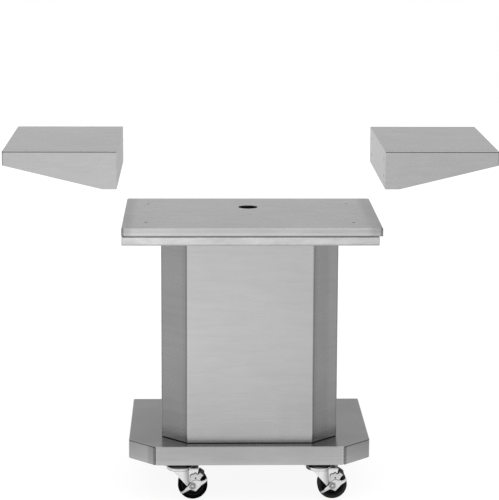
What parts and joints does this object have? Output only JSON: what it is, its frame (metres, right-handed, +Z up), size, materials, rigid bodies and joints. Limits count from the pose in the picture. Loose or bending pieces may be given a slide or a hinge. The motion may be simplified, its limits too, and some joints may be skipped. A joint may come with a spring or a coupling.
{
  "type": "grill pedestal",
  "caption": "Brushed stainless pedestal for a built-in grill head: column with clipped corners on a low base with swivel casters, a deck, and two side shelves.",
  "frame": {"origin": "on the floor, under the middle of the bounding box", "axes": "+Z up, -Y is the front, +X to the right as seen from the front"},
  "size_m": [1.216, 0.465, 0.896],
  "materials": {
    "stainless": "brushed along the sheet",
    "stainless_inner": "mill finish sheet",
    "stainless_bright": "fine brushed bar and strip",
    "zinc": "bright zinc plate on stamped steel",
    "steel_fastener": "plated fastener",
    "bearing_steel": "ground and greased",
    "core_plastic": "moulded black",
    "catch_plastic": "moulded black",
    "rubber": "matt moulded rubber"
  },
  "bodies": {
    "pedestal": {"base_pan": "stainless", "front_caster_rail": "stainless_inner", "rear_caster_rail": "stainless_inner", "cylinder_ring": "stainless_inner", "column_front": "stainless", "column_left_side": "stainless", "column_right_side": "stainless", "column_rear_frame": "stainless_inner", "column_bolts": "steel_fastener", "column_rivets": "stainless_bright", "column_hinge_leaves": "stainless_bright", "hinge_pins": "stainless_bright", "magnet_catch": "catch_plastic", "deck_frame": "stainless", "deck_bearers": "stainless_inner", "deck_pan": "stainless", "deck_bolts": "steel_fastener", "left_shelf": "stainless", "left_shelf_bracket": "stainless_inner", "left_shelf_rib": "stainless_inner", "right_shelf": "stainless", "right_shelf_bracket": "stainless_inner", "right_shelf_rib": "stainless_inner", "plate_front_left": "zinc", "plate_front_right": "zinc", "plate_rear_left": "zinc", "plate_rear_right": "zinc", "kingpins": "steel_fastener", "swivel_balls": "bearing_steel", "caster_bolts": "steel_fastener"},
    "door": {"rear_door": "stainless", "door_pull": "stainless_bright", "door_hinge_leaves": "stainless_bright", "door_strike": "stainless_bright"},
    "caster_front_left": {"fork_front_left": "zinc", "axle_front_left": "steel_fastener", "sleeve_front_left": "bearing_steel"},
    "wheel_front_left": {"core_front_left": "core_plastic", "tyre_front_left": "rubber"},
    "caster_front_right": {"fork_front_right": "zinc", "axle_front_right": "steel_fastener", "sleeve_front_right": "bearing_steel"},
    "wheel_front_right": {"core_front_right": "core_plastic", "tyre_front_right": "rubber"},
    "caster_rear_left": {"fork_rear_left": "zinc", "axle_rear_left": "steel_fastener", "sleeve_rear_left": "bearing_steel"},
    "wheel_rear_left": {"core_rear_left": "core_plastic", "tyre_rear_left": "rubber"},
    "caster_rear_right": {"fork_rear_right": "zinc", "axle_rear_right": "steel_fastener", "sleeve_rear_right": "bearing_steel"},
    "wheel_rear_right": {"core_rear_right": "core_plastic", "tyre_rear_right": "rubber"},
    "brake_lever_left": {"brake_lever_left": "zinc"},
    "brake_plate_left": {"brake_plate_left": "zinc"},
    "brake_lever_right": {"brake_lever_right": "zinc"},
    "brake_plate_right": {"brake_plate_right": "zinc"}
  },
  "joints": [
    {"name": "door_hinge", "type": "hinge", "parent": "pedestal", "child": "door", "pos_m": [-0.2055, 0.1875, 0.404], "axis": [0, 0, 1], "range_deg": [0, 110]},
    {"name": "swivel_front_left", "type": "hinge", "parent": "pedestal", "child": "caster_front_left", "pos_m": [-0.177, -0.1805, 0.084], "axis": [0, 0, 1], "continuous": true},
    {"name": "spin_front_left", "type": "hinge", "parent": "caster_front_left", "child": "wheel_front_left", "pos_m": [-0.144, -0.1805, 0.0375], "axis": [0, 1, 0], "continuous": true},
    {"name": "swivel_front_right", "type": "hinge", "parent": "pedestal", "child": "caster_front_right", "pos_m": [0.177, -0.1805, 0.084], "axis": [0, 0, 1], "continuous": true},
    {"name": "spin_front_right", "type": "hinge", "parent": "caster_front_right", "child": "wheel_front_right", "pos_m": [0.21, -0.1805, 0.0375], "axis": [0, 1, 0], "continuous": true},
    {"name": "swivel_rear_left", "type": "hinge", "parent": "pedestal", "child": "caster_rear_left", "pos_m": [-0.177, 0.1805, 0.084], "axis": [0, 0, 1], "continuous": true},
    {"name": "spin_rear_left", "type": "hinge", "parent": "caster_rear_left", "child": "wheel_rear_left", "pos_m": [-0.144, 0.1805, 0.0375], "axis": [0, 1, 0], "continuous": true},
    {"name": "swivel_rear_right", "type": "hinge", "parent": "pedestal", "child": "caster_rear_right", "pos_m": [0.177, 0.1805, 0.084], "axis": [0, 0, 1], "continuous": true},
    {"name": "spin_rear_right", "type": "hinge", "parent": "caster_rear_right", "child": "wheel_rear_right", "pos_m": [0.21, 0.1805, 0.0375], "axis": [0, 1, 0], "continuous": true},
    {"name": "lever_left", "type": "hinge", "parent": "caster_front_left", "child": "brake_lever_left", "pos_m": [-0.144, -0.2045, 0.0375], "axis": [0, -1, 0], "range_deg": [0, 22]},
    {"name": "brake_left", "type": "slide", "parent": "caster_front_left", "child": "brake_plate_left", "axis": [-0.6691, 0, -0.7431], "range_m": [0, 0.0007]},
    {"name": "lever_right", "type": "hinge", "parent": "caster_front_right", "child": "brake_lever_right", "pos_m": [0.21, -0.2045, 0.0375], "axis": [0, -1, 0], "range_deg": [0, 22]},
    {"name": "brake_right", "type": "slide", "parent": "caster_front_right", "child": "brake_plate_right", "axis": [-0.6691, 0, -0.7431], "range_m": [0, 0.0007]}
  ],
  "couplings": [
    {"joint": "brake_left", "follows": "lever_left", "m_per_rad": 0.0018},
    {"joint": "brake_right", "follows": "lever_right", "m_per_rad": 0.0018}
  ]
}
